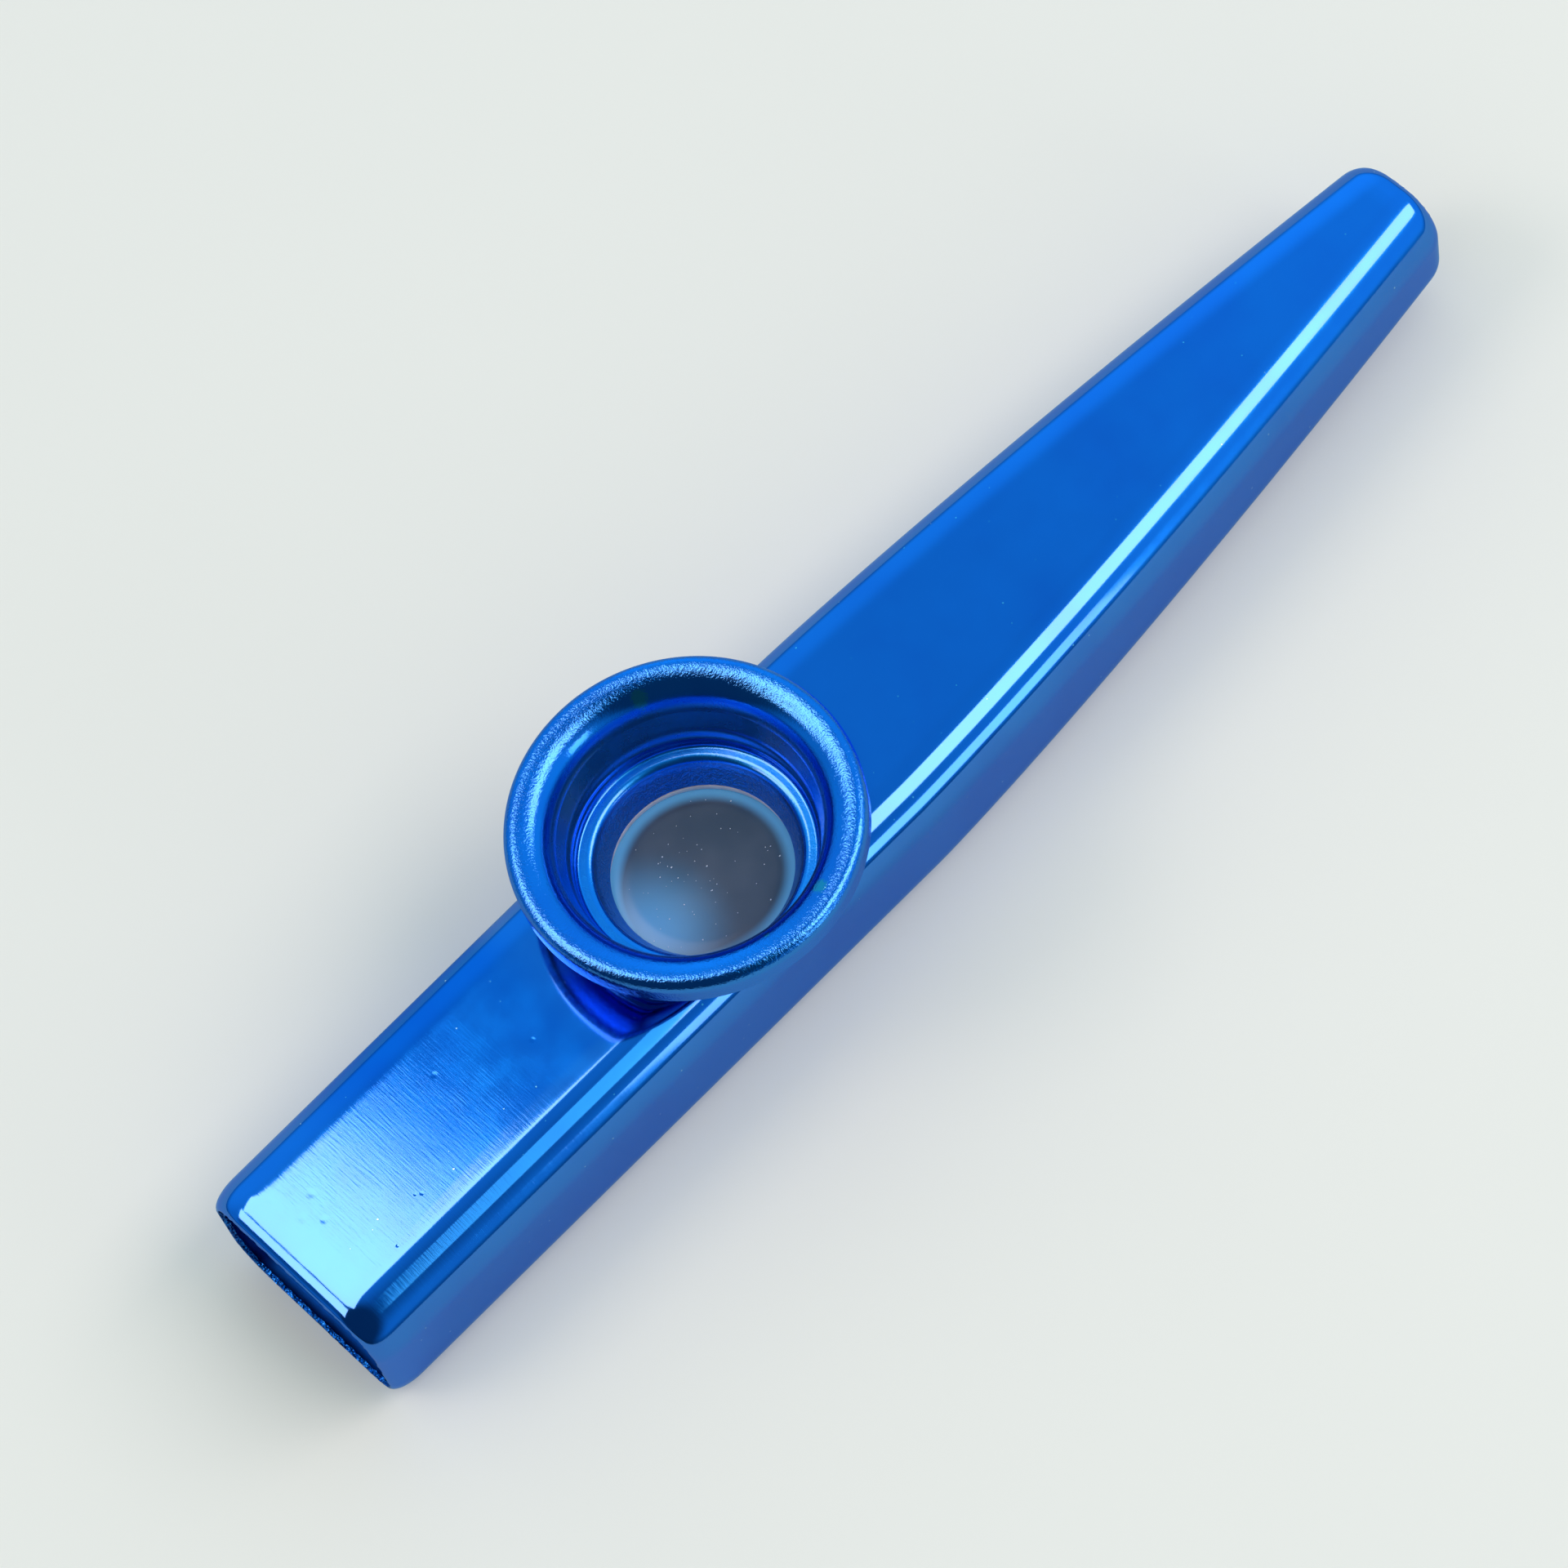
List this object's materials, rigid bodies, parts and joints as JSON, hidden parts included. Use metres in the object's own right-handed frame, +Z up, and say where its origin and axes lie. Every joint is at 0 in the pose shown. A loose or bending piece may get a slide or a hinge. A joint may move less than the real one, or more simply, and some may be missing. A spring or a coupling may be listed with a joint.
{
  "type": "kazoo",
  "caption": "Metal kazoo: a tube flat at the mouth and narrow at the far end, with a flared cap that screws down over a membrane.",
  "frame": {"origin": "centre of the bounding box's bottom face, on the table under the middle of the tube", "axes": "+X along the tube from the mouth to the narrow end, +Y across it, +Z up through the turret"},
  "size_m": [0.12, 0.027, 0.0208],
  "materials": {
    "blue_aluminium": "glossy blue anodised, with fine brushing across the tube",
    "gasket_rubber": "thin matt washer",
    "membrane_film": "thin glossy translucent film",
    "ring_plastic": "off-white plastic"
  },
  "bodies": {
    "tube": {"body_tube": "blue_aluminium", "turret_socket": "blue_aluminium", "seat_gasket": "gasket_rubber"},
    "membrane": {"membrane_film": "membrane_film", "membrane_ring": "ring_plastic"},
    "cap": {"screw_cap": "blue_aluminium"}
  },
  "joints": [
    {"name": "cap_rise", "type": "slide", "parent": "tube", "child": "membrane", "axis": [0, 0, 1], "range_m": [0, 0.0081]},
    {"name": "cap_turn", "type": "hinge", "parent": "membrane", "child": "cap", "pos_m": [-0.0172, 0, 0.0114], "axis": [0, 0, 1], "range_deg": [0, 1440]}
  ],
  "couplings": [
    {"joint": "cap_rise", "follows": "cap_turn", "m_per_rad": 0.00031831}
  ]
}
